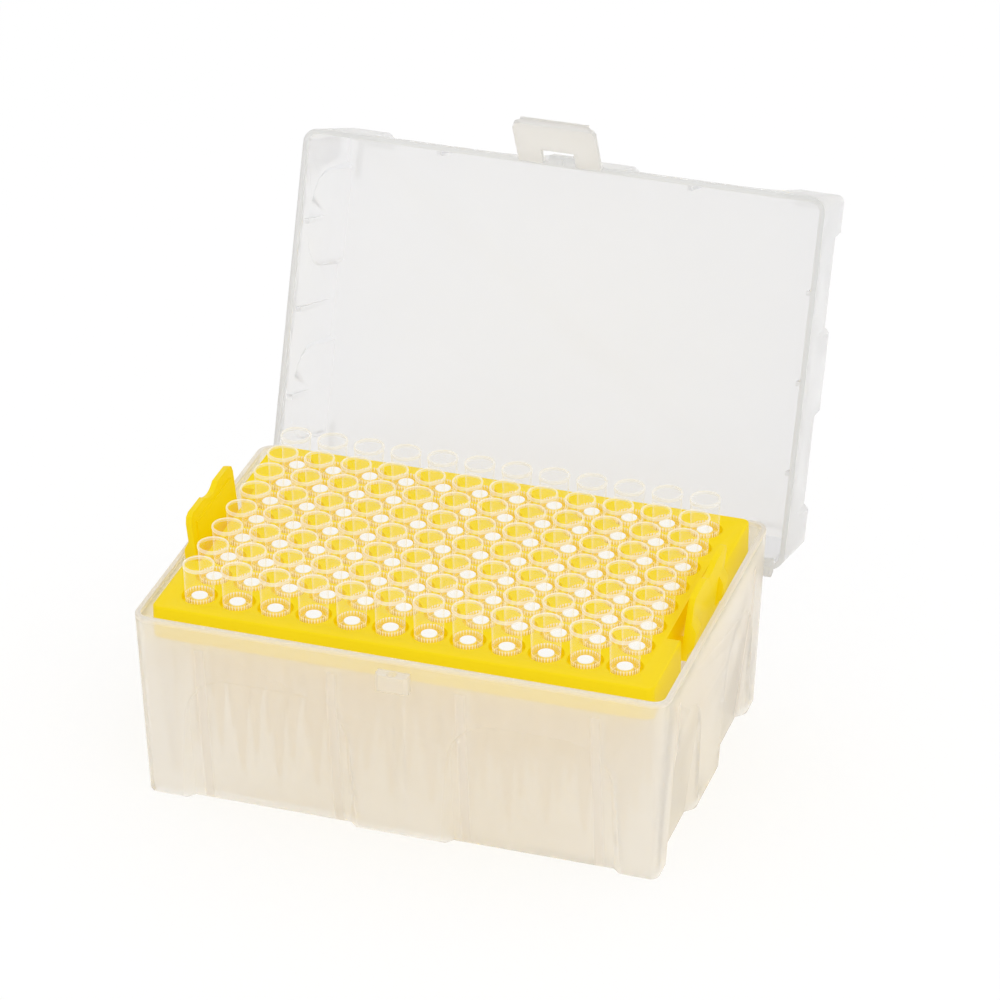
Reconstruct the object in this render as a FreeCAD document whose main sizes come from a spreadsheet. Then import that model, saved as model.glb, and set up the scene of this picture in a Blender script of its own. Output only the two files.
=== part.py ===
import FreeCAD, Part
import math
import os

import Sketcher

# Pipette tip box with its lid open: a base box, a drop-in tray of 96 filter tips, a hinged lid
# and a latch flap on the lid's front edge. Millimetres, +Z up.
# The origin is the centre of the base's foot plane; the catch and the latch face -Y, the hinge +Y.

COLUMNS = 12
ROWS = 8
QUARTER_TURN = math.pi / 2
LEVEL_TOLERANCE = 1e-4

doc = FreeCAD.newDocument("pipette_tip_box")
sheet = doc.addObject("Spreadsheet::Sheet", "sizes")


def section(*rows):
    """Write one group of named sizes below the ones already in the sheet."""
    for name, value, meaning in rows:
        row = section.next_row
        sheet.set(f"A{row}", name)
        sheet.set(f"B{row}", str(value))
        sheet.set(f"C{row}", meaning)
        sheet.setAlias(f"B{row}", name)
        section.next_row = row + 1


section.next_row = 1

# Tip grid, what follows from it, and the margin of all the cutting tools.
section(
    ("pitch", 9, "spacing of the tips, both ways"),
    ("tray_end_margin", 8.7, "axes of the end columns to the tray's short sides"),
    ("tray_side_margin", 7.8, "axes of the outer rows to the tray's long sides"),
    ("tray_length", f"={COLUMNS - 1} * pitch + 2 * tray_end_margin", "outside of the tray along X"),
    ("tray_width", f"={ROWS - 1} * pitch + 2 * tray_side_margin", "outside of the tray along Y"),
    ("cutter_margin", 1, "how far cutting tools run past what they cut"),
)
# Base box.
section(
    ("base_end_room", 3.9, "tray's short sides to the outline of the base's rim"),
    ("base_side_room", 2.9, "tray's long sides to the outline of the base's rim"),
    ("base_length", "=tray_length + 2 * base_end_room", "outside of the base at its rim, along X"),
    ("base_width", "=tray_width + 2 * base_side_room", "outside of the base at its rim, along Y"),
    ("base_height", 47, "foot plane to rim"),
    ("base_corner", 3.8, "outer corner radius at the rim"),
    ("base_wall", 1.2, "wall of the base"),
    ("base_floor", 1.5, "floor of the base"),
    ("base_draft", 2.4, "moulding draft of the base walls, degrees"),
    ("base_foot_round", 1.2, "rounding of the foot edge"),
    ("base_rim_round", 0.4, "rounding of the rim's outer edge"),
    ("rib_thick", 2.2, "support rib, along the wall"),
    ("rib_reach", 4.4, "support rib, from the wall's outside inwards at the rim"),
    ("inner_rib_gap", 15, "ribs of the long walls nearest the middle, from the centre"),
    ("outer_rib_inset", 16.1, "ribs of the long walls nearest the ends, from the rim's outline"),
    ("outer_rib_gap", "=base_length / 2 - outer_rib_inset", "the same ribs, from the centre"),
    ("end_rib_inset", 11.2, "ribs of the short walls, from the rim's outline"),
    ("end_rib_gap", "=base_width / 2 - end_rib_inset", "the same ribs, from the centre"),
    ("end_rib_reach", 5.6, "ribs of the short walls, from the wall's outside inwards at the rim"),
    ("catch_rib_drop", 10.6, "top of the rib behind the catch block, below the base's rim"),
)
# Foot pads: the walls step in between them as round-topped panels, on the base and on the lid.
section(
    ("panel_depth", 2.4, "how far a panel of the base is set back at the foot"),
    ("lid_panel_depth", 1.3, "how far a panel of the lid is set back at the lid's top"),
    ("panel_slope", 45, "slope of a panel's sides, degrees"),
    ("long_corner_pad", 11.5, "corner pad along the long walls"),
    ("long_middle_pad", 22, "middle pad of the long walls"),
    ("short_corner_pad", 9.5, "corner pad along the short walls"),
    ("short_middle_pad", 19.5, "middle pad of the short walls"),
    ("base_panel_drop", 13, "top of a panel in the base, below the rim"),
    ("base_panel_height", "=base_height - base_panel_drop", "foot plane to the top of that panel"),
    ("base_panel_corner", 11, "radius at the top of a panel in the base"),
    ("lid_panel_height", 22, "lid's top down to the end of a panel in the lid"),
    ("lid_panel_corner", 9, "radius at the end of a panel in the lid"),
)
# Catch block on the base's front wall.
section(
    ("catch_width", 7.5, "catch block along X"),
    ("catch_reach", 2.8, "how far the catch block stands out of the rim's outline"),
    ("catch_drop", 2.6, "top of the catch block below the base's rim"),
    ("catch_top", "=base_height - catch_drop", "top of the catch block above the foot plane"),
    ("catch_height", 4.6, "catch block, top to bottom"),
    ("catch_bottom", "=catch_top - catch_height", "bottom of the catch block, which the latch hooks under"),
    ("catch_chamfer", 0.9, "chamfers of the catch block"),
    ("catch_hole", 2.3, "diameter of the locating hole"),
    ("catch_hole_depth", 3.2, "depth of the locating hole"),
)
# Tray.
section(
    ("tray_corner", 1.8, "outer corner radius"),
    ("tray_stand", 1.8, "top face above the base's rim"),
    ("tray_top", "=base_height + tray_stand", "top face above the foot plane"),
    ("tray_height", 7.8, "top face down to the skirt's lower edge"),
    ("tray_plate", 3, "thickness of the plate that holds the tips"),
    ("tray_wall", 1.2, "skirt and notch walls"),
    ("tray_edge", 0.5, "rounding of the top edge"),
    ("seat_diameter", 8.2, "counterbore round each tip"),
    ("seat_depth", 1.7, "counterbore depth"),
    ("hole_diameter", 5.9, "hole that a tip's body passes"),
    ("notch_width", 35, "finger notch in each short side"),
    ("notch_depth", 3.4, "how far a finger notch is set back"),
    ("tab_thick", 1.4, "grip tab"),
    ("tab_side_gap", 4.3, "grip tab from each side of its notch"),
    ("tab_width", "=notch_width - 2 * tab_side_gap", "grip tab"),
    ("tab_setback", 1.4, "inner face of a grip tab at its foot, inside the tray's outline"),
    ("tab_lean", 6, "how far a grip tab leans outwards, degrees"),
    ("tab_stand", 8.7, "top of the grip tab above the tray's top face"),
    ("tab_top", "=tray_top + tab_stand", "top of the grip tab above the foot plane"),
    ("tab_corner", 2, "rounded top corners of a grip tab"),
    ("tab_leg", 8, "each of the two legs that join a tab to the tray"),
    ("tab_dip_radius", 7, "radius of the shallow dip in a tab's top edge"),
    ("tab_dip", 1.4, "depth of that dip"),
    ("tab_face_inset", 2.6, "raised face on a tab's inside, from the tab's edges"),
    ("tab_face_thick", 0.4, "thickness of that face"),
    ("hook_width", 4.2, "hook on a tab's outside, along the tab"),
    ("hook_reach", 1.3, "how far a hook stands out of its tab"),
    ("hook_stand", 1.8, "outer edge of a hook above the base's rim"),
    ("hook_drop", 2, "foot of a hook's outer face below the base's rim"),
    ("hook_slope", 2.1, "height of a hook's slopes"),
)
# Filter tips.
section(
    ("tip_stand", 8.2, "rim of a tip above the tray's top face"),
    ("tip_top", "=tray_top + tip_stand", "rim of a tip above the foot plane"),
    ("tip_end", 5, "point of a tip above the foot plane"),
    ("rim_diameter", 7.2, "rolled rim"),
    ("rim_height", 0.8, "height of the rolled rim"),
    ("rim_slope", 0.3, "height of the slope under the rolled rim"),
    ("collar_diameter", 6.9, "collar under the rim"),
    ("collar_foot", 6.4, "collar where it sits in the tray"),
    ("body_diameter", 5.6, "tip body under the collar"),
    ("step_diameter", 4.6, "tip body above its step"),
    ("cone_length", 18, "step above the point"),
    ("step_height", "=tip_end + cone_length", "step above the foot plane"),
    ("step_slope", 0.6, "height of the step's slope, outside and in the bore"),
    ("cone_diameter", 3.6, "cone below the step"),
    ("end_diameter", 0.95, "outside of the point"),
    ("end_bore", 0.45, "hole in the point"),
    ("mouth_bore", 6.3, "mouth at the rim"),
    ("mouth_foot", 5.6, "mouth above the filter"),
    ("mouth_depth", 7.2, "rim to the mouth's foot"),
    ("filter_bore", 4.2, "bore round the filter"),
    ("filter_diameter", 4.1, "filter plug"),
    ("filter_height", 5, "filter plug"),
    ("filter_drop", 8.1, "rim to the top of the filter"),
    ("filter_lip", 0.1, "bore above the top of the filter"),
    ("tip_wall", 0.5, "wall of a tip below the filter"),
)
# Lid.
section(
    ("lid_gap", 0.25, "running gap between the lid and the base's rim"),
    ("lid_wall", 1.2, "walls of the lid"),
    ("lid_top", 1.3, "top panel of the lid"),
    ("lid_height", 28, "rim to the outside of the top panel"),
    ("lid_draft", 3.5, "moulding draft of the lid walls, degrees"),
    ("lid_corner", 3.4, "outer corner radius at the rim"),
    ("lid_edge", 1.2, "rounding of the edge round the lid's top"),
    ("lid_overlap", 2.3, "how far the closed lid comes down over the base's rim"),
    ("lid_rib_thick", 1.1, "stop ribs inside the lid"),
    ("lid_rib_reach", 2.7, "stop ribs, from the lid's outside inwards at its rim"),
    ("lid_rib_gap", 0.05, "stop ribs above the base's rim when closed"),
    ("lid_front_rib", 30.6, "stop ribs of the front wall, from the centre"),
    ("lid_open", 110, "angle between the closed and the open lid, degrees"),
    ("dimple_diameter", 2.7, "gate dimple in the middle of the top"),
    ("dimple_depth", 0.4, "gate dimple"),
    ("ridge_length", 9, "legs of the stacking ridges at the top's corners"),
    ("ridge_thick", 1.1, "stacking ridges"),
    ("ridge_inset", 4.6, "stacking ridges, from the lid's rim outline inwards"),
)
# Hinge: moulded pins of the base inside knuckles on the lid's two arms.
section(
    ("hinge_inset", 0.7, "hinge axis inside the base's rear rim outline"),
    ("hinge_drop", 11.5, "hinge axis below the base's rim"),
    ("hinge_height", "=base_height - hinge_drop", "hinge axis above the foot plane"),
    ("knuckle_diameter", 4.4, "outside of a knuckle"),
    ("knuckle_stand", 0.8, "outer end of a knuckle beyond the outline of the base's rim"),
    ("knuckle_end", "=base_length / 2 + knuckle_stand", "outer end of a knuckle from the centre"),
    ("knuckle_length", 12.9, "knuckle along X"),
    ("knuckle_start", "=knuckle_end - knuckle_length", "inner end of a knuckle from the centre"),
    ("knuckle_gap", 0.35, "space round a knuckle in its pocket"),
    ("pin_diameter", 2.3, "hinge pin"),
    ("pin_gap", 0.08, "running gap round a hinge pin"),
    ("pin_cover", 1.9, "end of a knuckle beyond the end of its pin"),
    ("pin_end", "=knuckle_end - pin_cover", "outer end of a hinge pin from the centre"),
    ("arm_width", 8.5, "lid arm along X"),
    ("stop_gap", 0.05, "open lid's arm from the ledge that stops it"),
)
# Latch flap.
section(
    ("flap_width", 20, "latch flap along X"),
    ("flap_length", 13.8, "latch flap from its hinge line to its free edge"),
    ("flap_thick", 1.2, "latch flap"),
    ("flap_corner", 1.7, "rounded outer corners"),
    ("flap_drop", 0.25, "hinge line below the lid's rim, and outside its wall by half as much"),
    ("flap_open", 45, "angle of the flap from its latched position, degrees"),
    ("film_diameter", 0.4, "living hinge film on each side of the window"),
    ("window_side_gap", 0.25, "window's sides from the catch block"),
    ("window_width", "=catch_width + 2 * window_side_gap", "window that the catch block comes through"),
    ("window_under_gap", 0.4, "window's lower edge below the latched catch block"),
    (
        "window_height", "=base_height - lid_overlap - flap_drop - catch_bottom + window_under_gap",
        "window from the hinge line down",
    ),
    ("lip_height", 2, "finger lip at the free edge"),
    ("lip_reach", 0.9, "how far the finger lip stands out"),
    ("boss_side_inset", 0.65, "boss on the lid that sits over the catch block, narrower on each side"),
    ("boss_width", "=catch_width - 2 * boss_side_inset", "the same boss along X"),
    ("boss_height", 4, "boss above the lid's rim"),
    ("locator_gap", 0.35, "space round the pin under the boss that enters the catch block"),
    ("locator_diameter", "=catch_hole - 2 * locator_gap", "that pin"),
    ("locator_length", 1.3, "that pin below the lid's rim"),
)
doc.recompute()

# Worked-out expressions that several pieces share.
FIRST_X = f"({COLUMNS - 1} * sizes.pitch / 2)"
FIRST_Y = f"({ROWS - 1} * sizes.pitch / 2)"
LID_LENGTH = "(sizes.base_length + 2 * (sizes.lid_gap + sizes.lid_wall))"
LID_WIDTH = "(sizes.base_width + 2 * (sizes.lid_gap + sizes.lid_wall))"
LID_RIM = "(sizes.base_height - sizes.lid_overlap)"
LID_TOP = f"({LID_RIM} + sizes.lid_height)"
TRAY_FOOT = "(sizes.tray_top - sizes.tray_height)"
SEAT_HEIGHT = "(sizes.tray_top - sizes.seat_depth)"
HINGE_Y = "(sizes.base_width / 2 - sizes.hinge_inset)"
LID_REAR = f"({LID_WIDTH} / 2 - {HINGE_Y})"
FLAP_Y = f"(-{LID_WIDTH} / 2 - sizes.flap_drop / 2)"
FLAP_Z = f"({LID_RIM} - sizes.flap_drop)"


def number(expression):
    """The present value of an expression over the sheet."""
    value = sheet.evalExpression(str(expression))
    return float(getattr(value, "Value", value))


def bind(thing, **expressions):
    """Bind properties to expressions; a double underscore stands for a dot."""
    for key, expression in expressions.items():
        thing.setExpression(key.replace("__", "."), str(expression))
    return thing


def place(thing, x="0", y="0", z="0", turn="0", pitch="0", roll="0"):
    """Bind the whole Placement: a yaw-pitch-roll turn, then a shift."""
    thing.setExpression(
        "Placement",
        f"placement(vector({x}; {y}; {z}); rotation({turn}; {pitch}; {roll}))",
    )
    return thing


def new_body(name):
    return doc.addObject("PartDesign::Body", name)


def new_sketch(body, role, name):
    """A sketch on one of the body's own origin planes."""
    plane = next(item for item in body.Origin.OriginFeatures if item.Role == role)
    sketch = body.newObject("Sketcher::SketchObject", name)
    sketch.AttachmentSupport = [(plane, "")]
    sketch.MapMode = "FlatFace"
    return sketch


def distance(sketch, kind, label, places, expression):
    """A named distance in a sketch, bound to an expression."""
    index = sketch.addConstraint(Sketcher.Constraint(kind, *places, number(expression)))
    sketch.renameConstraint(index, label)
    sketch.setExpression(f"Constraints.{label}", str(expression))


def outline(sketch, points):
    """A closed outline of straight lines through points given as pairs of expressions."""
    corners = [FreeCAD.Vector(number(x), number(y), 0) for x, y in points]
    count = len(corners)
    for index in range(count):
        sketch.addGeometry(Part.LineSegment(corners[index], corners[(index + 1) % count]))
    for index, (x, y) in enumerate(points):
        sketch.addConstraint(Sketcher.Constraint("Coincident", index, 2, (index + 1) % count, 1))
        distance(sketch, "DistanceX", f"across{index}", (-1, 1, index, 1), x)
        distance(sketch, "DistanceY", f"along{index}", (-1, 1, index, 1), y)


def rounded_rectangle(sketch, length, width, corner):
    """A rectangle centred on the sketch's origin, with its four corners rounded."""
    half_x, half_y, radius = number(length) / 2, number(width) / 2, number(corner)
    flat_x, flat_y = half_x - radius, half_y - radius
    vector = FreeCAD.Vector
    sketch.addGeometry(Part.LineSegment(vector(-flat_x, half_y), vector(flat_x, half_y)))
    sketch.addGeometry(Part.LineSegment(vector(half_x, flat_y), vector(half_x, -flat_y)))
    sketch.addGeometry(Part.LineSegment(vector(flat_x, -half_y), vector(-flat_x, -half_y)))
    sketch.addGeometry(Part.LineSegment(vector(-half_x, -flat_y), vector(-half_x, flat_y)))
    for turn, (side_x, side_y) in enumerate([(1, 1), (1, -1), (-1, -1), (-1, 1)]):
        circle = Part.Circle(vector(side_x * flat_x, side_y * flat_y), vector(0, 0, 1), radius)
        start = -turn * QUARTER_TURN
        sketch.addGeometry(Part.ArcOfCircle(circle, start, start + QUARTER_TURN))
    for side in range(4):
        arc = 4 + side
        sketch.addConstraint(Sketcher.Constraint("Tangent", side, 2, arc, 2))
        sketch.addConstraint(Sketcher.Constraint("Tangent", arc, 1, (side + 1) % 4, 1))
    for side in (0, 2):
        sketch.addConstraint(Sketcher.Constraint("Horizontal", side))
        sketch.addConstraint(Sketcher.Constraint("Vertical", side + 1))
    for arc in (5, 6, 7):
        sketch.addConstraint(Sketcher.Constraint("Equal", 4, arc))
    sketch.addConstraint(Sketcher.Constraint("Symmetric", 4, 3, 6, 3, -1, 1))
    distance(sketch, "DistanceX", "length", (3, 1, 1, 1), length)
    distance(sketch, "DistanceY", "width", (2, 1, 0, 1), width)
    distance(sketch, "Radius", "corner", (4,), corner)


def round_edges(body, height, radius):
    """Round the edges of a body that lie level at a height."""
    doc.recompute()
    level = number(height)
    solid = body.Tip
    names = []
    for index, edge in enumerate(solid.Shape.Edges, 1):
        box = edge.BoundBox
        if abs(box.ZMin - level) < LEVEL_TOLERANCE and abs(box.ZMax - level) < LEVEL_TOLERANCE:
            names.append(f"Edge{index}")
    fillet = body.newObject("PartDesign::Fillet", f"{body.Name}_round_{len(body.Group)}")
    fillet.Base = (solid, names)
    bind(fillet, Radius=radius)
    body.Tip = fillet


def drafted_block(name, length, width, corner, start, depth, draft, upwards=False):
    """A rounded block drawn at height start and padded down, or up, by depth; draft narrows it."""
    body = new_body(name)
    sketch = new_sketch(body, "XY_Plane", name + "_outline")
    bind(sketch, AttachmentOffset__Base__z=start)
    rounded_rectangle(sketch, length, width, corner)
    pad = body.newObject("PartDesign::Pad", name + "_pad")
    pad.Profile = sketch
    pad.Reversed = not upwards
    bind(pad, Length=depth, TaperAngle=f"-({draft})")
    return body


def prism(name, role, points, depth):
    """A straight-sided prism: an outline on an origin plane, padded along the plane's normal."""
    body = new_body(name)
    sketch = new_sketch(body, role, name + "_outline")
    outline(sketch, points)
    pad = body.newObject("PartDesign::Pad", name + "_pad")
    pad.Profile = sketch
    bind(pad, Length=depth)
    return body


def block(name, x, y, z, length, width, height):
    """A box from its low corner."""
    box = doc.addObject("Part::Box", name)
    bind(box, Length=length, Width=width, Height=height)
    return place(box, x, y, z)


def rod(name, diameter, height, x="0", y="0", z="0", pitch="0"):
    """A cylinder standing at a point; a pitch of 90 degrees lays it along +X."""
    cylinder = doc.addObject("Part::Cylinder", name)
    bind(cylinder, Radius=f"({diameter}) / 2", Height=height)
    return place(cylinder, x, y, z, pitch=pitch)


def joined(name, shapes):
    union = doc.addObject("Part::MultiFuse", name)
    union.Shapes = shapes
    union.Refine = True
    return union


def cut(name, base, tool):
    difference = doc.addObject("Part::Cut", name)
    difference.Base = base
    difference.Tool = tool
    difference.Refine = True
    return difference


# The four walls are numbered by quarter turns from the front: 0 front, 1 right, 2 rear, 3 left.
TURN_SIN = (0, 1, 0, -1)
TURN_COS = (1, 0, -1, 0)


def on_wall(wall, along, out):
    """X and Y of a point given along a wall and outwards from the centre."""
    sine, cosine = TURN_SIN[wall], TURN_COS[wall]
    return (
        f"({cosine} * ({along}) + {sine} * ({out}))",
        f"({sine} * ({along}) - {cosine} * ({out}))",
    )


def wall_block(name, wall, along, thick, out, reach, foot, top):
    """A rib on a wall: centred at along, from out inwards by reach, between two heights."""
    rib = doc.addObject("Part::Box", name)
    bind(rib, Length=thick, Width=reach, Height=f"({top}) - ({foot})")
    x, y = on_wall(wall, f"{along} - ({thick}) / 2", out)
    return place(rib, x, y, foot, turn=90 * wall)


def wall_panel(name, wall, along, width, height, corner, depth, out, foot, tilt, grow, upside_down):
    """A round-topped tool that leans with a set-back panel, its surface moved inwards by grow.

    Its flat face lies on the panel, its sides slope, and it reaches out past the wall. The panel's
    width is measured halfway up the slope.
    """
    body = new_body(name)
    sketch = new_sketch(body, "XZ_Plane", name + "_outline")
    spread = f"({grow} * (1 - sin(sizes.panel_slope)) / cos(sizes.panel_slope))"
    half = f"(({width} - {depth} * tan(sizes.panel_slope)) / 2 + {spread})"
    rise = f"(({height}) + {spread})"
    radius = f"({corner} + {spread})"
    low = -number("sizes.base_floor")
    side, top, bend = number(half), number(rise), number(radius)
    vector = FreeCAD.Vector
    sketch.addGeometry(Part.LineSegment(vector(side, low), vector(side, top - bend)))
    sketch.addGeometry(Part.LineSegment(vector(side - bend, top), vector(bend - side, top)))
    sketch.addGeometry(Part.LineSegment(vector(-side, top - bend), vector(-side, low)))
    sketch.addGeometry(Part.LineSegment(vector(-side, low), vector(side, low)))
    for end, centre in enumerate((side - bend, bend - side)):
        circle = Part.Circle(vector(centre, top - bend), vector(0, 0, 1), bend)
        start = end * QUARTER_TURN
        sketch.addGeometry(Part.ArcOfCircle(circle, start, start + QUARTER_TURN))
    for first, first_end, second, second_end in ((0, 2, 4, 1), (4, 2, 1, 1), (1, 2, 5, 1), (5, 2, 2, 1)):
        sketch.addConstraint(Sketcher.Constraint("Tangent", first, first_end, second, second_end))
    sketch.addConstraint(Sketcher.Constraint("Coincident", 2, 2, 3, 1))
    sketch.addConstraint(Sketcher.Constraint("Coincident", 3, 2, 0, 1))
    sketch.addConstraint(Sketcher.Constraint("Vertical", 0))
    sketch.addConstraint(Sketcher.Constraint("Horizontal", 1))
    sketch.addConstraint(Sketcher.Constraint("Symmetric", 2, 2, 0, 1, -2))
    distance(sketch, "DistanceX", "half", (-1, 1, 0, 1), half)
    distance(sketch, "DistanceY", "foot", (0, 1, -1, 1), "sizes.base_floor")
    distance(sketch, "DistanceY", "rise", (-1, 1, 1, 1), rise)
    distance(sketch, "Radius", "corner", (4,), radius)
    sketch.addConstraint(Sketcher.Constraint("Equal", 4, 5))
    pad = body.newObject("PartDesign::Pad", name + "_pad")
    pad.Profile = sketch
    bind(pad, Length=f"2 * {depth} + {grow}", TaperAngle="sizes.panel_slope")
    x, y = on_wall(wall, along, f"{out} - {grow} / cos({tilt})")
    return place(body, x, y, foot, turn=90 * wall, pitch=180 if upside_down else 0, roll=tilt)


def panel_places():
    """Wall number, centre and width of the eight panels, two in each wall."""
    for wall in range(4):
        size = "sizes.base_length" if wall % 2 == 0 else "sizes.base_width"
        pad = "sizes.long" if wall % 2 == 0 else "sizes.short"
        width = f"({size} / 2 - {pad}_corner_pad - {pad}_middle_pad / 2)"
        for side in (-1, 1):
            yield wall, side, f"{side} * ({pad}_middle_pad / 2 + {width} / 2)", width


def panel_tools(name, height, corner, depth, wall_height, draft, foot, rim_out, grow, upside_down):
    """The eight panel tools of the base or the lid; rim_out maps a wall to its half size."""
    tilt = f"atan(({height} * tan({draft}) + {depth}) / {height})"
    tools = []
    for wall, side, along, width in panel_places():
        out = f"({rim_out[wall % 2]} - {wall_height} * tan({draft}) - {depth})"
        label = f"{name}_{wall}_{'left' if side < 0 else 'right'}"
        tools.append(
            wall_panel(label, wall, along, width, height, corner, depth, out, foot, tilt, grow, upside_down)
        )
    return joined(name, tools)


# ---------------------------------------------------------------- base box
BASE_OUT = ("(sizes.base_width / 2)", "(sizes.base_length / 2)")
base_outer = drafted_block(
    "base_outer", "sizes.base_length", "sizes.base_width", "sizes.base_corner",
    "sizes.base_height", "sizes.base_height", "sizes.base_draft",
)
round_edges(base_outer, "0", "sizes.base_foot_round")
round_edges(base_outer, "sizes.base_height", "sizes.base_rim_round")
base_cavity = drafted_block(
    "base_cavity", "sizes.base_length - 2 * sizes.base_wall", "sizes.base_width - 2 * sizes.base_wall",
    "sizes.base_corner - sizes.base_wall", "sizes.base_height",
    "sizes.base_height - sizes.base_floor", "sizes.base_draft",
)

# Ribs whose tops carry the tray's skirt, and one that backs the catch block.
inside_base = []
for wall in (0, 2):
    for gap in ("inner_rib_gap", "outer_rib_gap"):
        for side in (-1, 1):
            inside_base.append(wall_block(
                f"rib_{wall}_{gap}_{'left' if side < 0 else 'right'}", wall, f"{side} * sizes.{gap}",
                "sizes.rib_thick", BASE_OUT[0], "sizes.rib_reach", "0", TRAY_FOOT,
            ))
for wall in (1, 3):
    for side in (-1, 1):
        inside_base.append(wall_block(
            f"rib_{wall}_{'left' if side < 0 else 'right'}", wall, f"{side} * sizes.end_rib_gap",
            "sizes.rib_thick", BASE_OUT[1], "sizes.end_rib_reach", "0", TRAY_FOOT,
        ))
inside_base.append(wall_block(
    "catch_rib", 0, "0", "sizes.rib_thick", BASE_OUT[0], "sizes.rib_reach", "0",
    "sizes.base_height - sizes.catch_rib_drop",
))

# Hinge pockets: the knuckles turn in them, and the open lid's arms come to rest on their ledges.
pocket_half = "(sizes.knuckle_diameter / 2 + sizes.knuckle_gap)"
pocket_inner = "(sizes.knuckle_start - sizes.knuckle_gap)"
ledge_out = (
    "(sizes.hinge_inset - (sizes.base_height - sizes.hinge_height) * tan(sizes.base_draft))"
)
ledge_drop = (
    f"(({LID_REAR} + sizes.stop_gap - {ledge_out} * cos(sizes.lid_open)) / sin(sizes.lid_open))"
)
pocket_floor = f"(sizes.hinge_height - {ledge_drop})"
pocket_height = f"({ledge_drop} + {pocket_half})"
pockets = []
housings = []
pins = []
for side in (-1, 1):
    label = "left" if side < 0 else "right"
    pocket_span = f"(sizes.base_length / 2 - {pocket_inner} + sizes.lid_wall)"
    low_x = pocket_inner if side > 0 else f"(-{pocket_inner} - {pocket_span})"
    pockets.append(block(
        f"hinge_pocket_{label}", low_x, f"{HINGE_Y} - {pocket_half}", pocket_floor,
        pocket_span, f"sizes.hinge_inset + {pocket_half} + sizes.lid_wall", pocket_height,
    ))
    housing_low = f"({low_x} - sizes.base_wall)"
    housings.append(block(
        f"hinge_housing_{label}", housing_low, f"{HINGE_Y} - {pocket_half} - sizes.base_wall",
        f"{pocket_floor} - sizes.base_wall", f"{pocket_span} + 2 * sizes.base_wall",
        f"{pocket_half} + sizes.hinge_inset + sizes.base_wall", f"{pocket_height} + 2 * sizes.base_wall",
    ))
    pin_root = f"({pocket_inner} - sizes.base_wall)"
    pin_length = f"(sizes.pin_end - {pin_root})"
    pin_low = pin_root if side > 0 else f"(-{pin_root} - {pin_length})"
    pins.append(rod(
        f"hinge_pin_{label}", "sizes.pin_diameter", pin_length, pin_low, HINGE_Y,
        "sizes.hinge_height", pitch="90",
    ))

base_skins = panel_tools(
    "base_skins", "sizes.base_panel_height", "sizes.base_panel_corner", "sizes.panel_depth",
    "sizes.base_height", "sizes.base_draft", "0", BASE_OUT, "sizes.base_wall", False,
)
base_panels = panel_tools(
    "base_panels", "sizes.base_panel_height", "sizes.base_panel_corner", "sizes.panel_depth",
    "sizes.base_height", "sizes.base_draft", "0", BASE_OUT, "0", False,
)
base_space = cut("base_space", base_cavity, joined("base_inside", inside_base + housings + [base_skins]))
base_shell = cut("base_shell", base_outer, joined("base_tools", [base_space, base_panels] + pockets))

# Catch block, with its front and lower edges chamfered and a round locating hole from the top.
catch_front = "(sizes.base_width / 2 + sizes.catch_reach)"
catch_root = "(sizes.base_width / 2 - sizes.base_wall)"
catch_plan = prism(
    "catch_plan", "XY_Plane",
    [
        ("-sizes.catch_width / 2", f"-{catch_root}"),
        ("-sizes.catch_width / 2", f"-{catch_front} + sizes.catch_chamfer"),
        ("-sizes.catch_width / 2 + sizes.catch_chamfer", f"-{catch_front}"),
        ("sizes.catch_width / 2 - sizes.catch_chamfer", f"-{catch_front}"),
        ("sizes.catch_width / 2", f"-{catch_front} + sizes.catch_chamfer"),
        ("sizes.catch_width / 2", f"-{catch_root}"),
    ],
    "sizes.catch_top - sizes.catch_bottom",
)
place(catch_plan, z="sizes.catch_bottom")
catch_side = prism(
    "catch_side", "YZ_Plane",
    [
        (f"-{catch_root}", "sizes.catch_bottom"),
        (f"-{catch_front} + sizes.catch_chamfer", "sizes.catch_bottom"),
        (f"-{catch_front}", "sizes.catch_bottom + sizes.catch_chamfer"),
        (f"-{catch_front}", "sizes.catch_top"),
        (f"-{catch_root}", "sizes.catch_top"),
    ],
    "sizes.catch_width",
)
place(catch_side, x="-sizes.catch_width / 2")
catch_block = doc.addObject("Part::MultiCommon", "catch_block")
catch_block.Shapes = [catch_plan, catch_side]
catch_hole_y = "(-(sizes.base_width + sizes.catch_reach) / 2)"
catch_hole = rod(
    "catch_hole_tool", "sizes.catch_hole", "2 * sizes.catch_hole_depth", "0", catch_hole_y,
    "sizes.catch_top - sizes.catch_hole_depth",
)
base_box = cut("base_box", joined("base_with_catch", [base_shell, catch_block] + pins), catch_hole)

# ---------------------------------------------------------------- tip tray
tray_outer = drafted_block(
    "tray_outer", "sizes.tray_length", "sizes.tray_width", "sizes.tray_corner",
    "sizes.tray_top", "sizes.tray_height", "0",
)
round_edges(tray_outer, "sizes.tray_top", "sizes.tray_edge")
tray_cavity = drafted_block(
    "tray_cavity", "sizes.tray_length - 2 * sizes.tray_wall", "sizes.tray_width - 2 * sizes.tray_wall",
    "sizes.tray_corner - sizes.tray_wall", "sizes.tray_top - sizes.tray_plate",
    "sizes.tray_height - sizes.tray_plate", "0",
)
notch_walls = []
notches = []
for wall in (1, 3):
    notch_walls.append(wall_block(
        f"notch_wall_{wall}", wall, "0", "sizes.notch_width + 2 * sizes.tray_wall",
        "sizes.tray_length / 2", "sizes.notch_depth + sizes.tray_wall", TRAY_FOOT, "sizes.tray_top",
    ))
    notches.append(wall_block(
        f"notch_{wall}", wall, "0", "sizes.notch_width", "sizes.tray_length / 2 + sizes.tray_wall",
        "sizes.notch_depth + sizes.tray_wall", f"{TRAY_FOOT} - sizes.cutter_margin",
        "sizes.tray_top + sizes.cutter_margin",
    ))
tray_space = cut("tray_space", tray_cavity, joined("notch_walls", notch_walls))


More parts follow.
